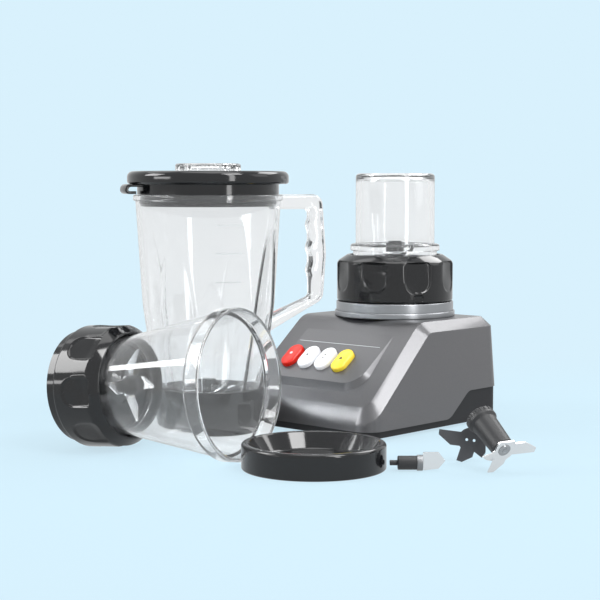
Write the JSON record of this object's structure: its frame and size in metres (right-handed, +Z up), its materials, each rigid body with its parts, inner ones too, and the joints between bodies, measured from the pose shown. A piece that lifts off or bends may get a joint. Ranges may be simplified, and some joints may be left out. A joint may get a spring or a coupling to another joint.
{
  "type": "countertop blender set",
  "caption": "Electric blender base with push buttons and a grinding mill, beside a lidded jug, a lying chopper cup, its lid and loose blades.",
  "frame": {"origin": "middle of the whole set's outline, on the worktop", "axes": "+Z up, the motor base's console faces -Y, +X to its right"},
  "size_m": [0.3792, 0.3982, 0.2336],
  "materials": {
    "housing_silver": "satin metallic",
    "tray_black": "matt",
    "rubber_black": "matt",
    "ring_satin": "satin",
    "lamination": "matt",
    "copper": "enamelled",
    "zinc": "cast",
    "bronze": "sintered",
    "steel": "turned",
    "blade_steel": "pressed",
    "fan_white": "matt",
    "drive_black": "matt",
    "button_red": "gloss",
    "button_white": "gloss",
    "button_yellow": "gloss",
    "gloss_black": "gloss",
    "clear": "clear plastic"
  },
  "bodies": {
    "base": {"base_housing": "housing_silver", "base_tray": "tray_black", "rubber_feet": "rubber_black", "base_screws": "steel", "cord_gland": "rubber_black", "collar_ring": "ring_satin", "stator_stack": "lamination", "field_coils": "copper", "lower_bracket": "zinc", "upper_bracket": "zinc", "lower_bearing": "bronze", "upper_bearing": "bronze", "motor_bolts": "steel", "switch_block": "fan_white"},
    "rotor": {"rotor_shaft": "steel", "rotor_core": "lamination", "commutator": "copper", "cooling_fan": "fan_white", "drive_coupling": "drive_black"},
    "off_key": {"button_off": "button_red"},
    "low_key": {"button_low": "button_white"},
    "high_key": {"button_high": "button_white"},
    "pulse_key": {"button_pulse": "button_yellow"},
    "mill": {"mill_collar": "gloss_black", "mill_bush": "bronze", "mill_seal": "rubber_black"},
    "mill_cup": {"mill_cup": "clear"},
    "mill_cutter": {"mill_spindle": "steel", "mill_blade": "blade_steel", "mill_blade_nut": "gloss_black", "mill_coupling": "drive_black"},
    "jug": {"jar_body": "clear", "jar_collar": "gloss_black", "jar_bush": "bronze", "jar_seal": "rubber_black"},
    "jug_lid": {"jar_lid": "gloss_black", "jar_lid_seal": "rubber_black"},
    "jug_cap": {"measuring_cap": "clear"},
    "jug_cutter": {"jar_spindle": "steel", "jar_blade": "blade_steel", "jar_blade_nut": "gloss_black", "jar_coupling": "drive_black"},
    "chopper": {"chopper_collar": "gloss_black", "chopper_cup": "clear", "chopper_seal": "rubber_black", "chopper_bush": "bronze"},
    "chopper_cutter": {"chopper_spindle": "steel", "chopper_blade": "blade_steel", "chopper_blade_nut": "gloss_black", "chopper_coupling": "drive_black"},
    "dish": {"chopper_lid": "gloss_black"},
    "loose_unit": {"loose_holder": "gloss_black"},
    "loose_cutter": {"loose_spindle": "steel", "loose_blade": "blade_steel"},
    "spare": {"spare_blade": "blade_steel"},
    "small_unit": {"small_holder": "gloss_black", "small_band": "ring_satin", "small_blade": "blade_steel"}
  },
  "joints": [
    {"name": "rotor_spin", "type": "hinge", "parent": "base", "child": "rotor", "pos_m": [-0.06028, 0.14226, 0.06], "axis": [0, 0, 1], "continuous": true},
    {"name": "off_press", "type": "slide", "parent": "base", "child": "off_key", "axis": [0, 0.6013, -0.799], "range_m": [0, 0.003], "stiffness_N_per_m": 500, "springref_m": -0.002},
    {"name": "low_press", "type": "slide", "parent": "base", "child": "low_key", "axis": [0, 0.6013, -0.799], "range_m": [0, 0.003], "stiffness_N_per_m": 500, "springref_m": -0.002},
    {"name": "high_press", "type": "slide", "parent": "base", "child": "high_key", "axis": [0, 0.6013, -0.799], "range_m": [0, 0.003], "stiffness_N_per_m": 500, "springref_m": -0.002},
    {"name": "pulse_press", "type": "slide", "parent": "base", "child": "pulse_key", "axis": [0, 0.6013, -0.799], "range_m": [0, 0.003], "stiffness_N_per_m": 500, "springref_m": -0.002},
    {"name": "mill_lift", "type": "slide", "parent": "base", "child": "mill", "axis": [0, 0, 1], "range_m": [0, 0.06]},
    {"name": "mill_cup_lift", "type": "slide", "parent": "mill", "child": "mill_cup", "axis": [0, 0, 1], "range_m": [0, 0.09]},
    {"name": "mill_cutter_spin", "type": "hinge", "parent": "mill", "child": "mill_cutter", "pos_m": [-0.06028, 0.14226, 0.1088], "axis": [0, 0, 1], "continuous": true},
    {"name": "jug_lift", "type": "slide", "parent": "base", "child": "jug", "axis": [0, 0, 1], "range_m": [0, 0.05]},
    {"name": "jug_lid_lift", "type": "slide", "parent": "jug", "child": "jug_lid", "axis": [0, 0, 1], "range_m": [0, 0.04]},
    {"name": "jug_cap_lift", "type": "slide", "parent": "jug_lid", "child": "jug_cap", "axis": [0, 0, 1], "range_m": [0, 0.04]},
    {"name": "jug_cutter_spin", "type": "hinge", "parent": "jug", "child": "jug_cutter", "pos_m": [-0.11998, -0.03884, 0.03], "axis": [0, 0, 1], "continuous": true},
    {"name": "chopper_lift", "type": "slide", "parent": "base", "child": "chopper", "axis": [0, 0, 1], "range_m": [0, 0.04]},
    {"name": "chopper_cutter_spin", "type": "hinge", "parent": "chopper", "child": "chopper_cutter", "pos_m": [-0.10403, -0.14223, 0.05268], "axis": [0.9755, 0.2073, 0.0739], "continuous": true},
    {"name": "dish_lift", "type": "slide", "parent": "base", "child": "dish", "axis": [0, 0, 1], "range_m": [0, 0.13]},
    {"name": "loose_unit_lift", "type": "slide", "parent": "base", "child": "loose_unit", "axis": [0, 0, 1], "range_m": [0, 0.03]},
    {"name": "loose_cutter_spin", "type": "hinge", "parent": "loose_unit", "child": "loose_cutter", "pos_m": [0.17972, -0.02204, 0.01943], "axis": [0.798, -0.253, -0.547], "range_deg": [0, 190]},
    {"name": "spare_lift", "type": "slide", "parent": "base", "child": "spare", "axis": [0, 0, 1], "range_m": [0, 0.03]},
    {"name": "small_unit_lift", "type": "slide", "parent": "base", "child": "small_unit", "axis": [0, 0, 1], "range_m": [0, 0.03]}
  ],
  "couplings": [
    {"joint": "mill_cutter_spin", "follows": "rotor_spin", "ratio": 1}
  ]
}
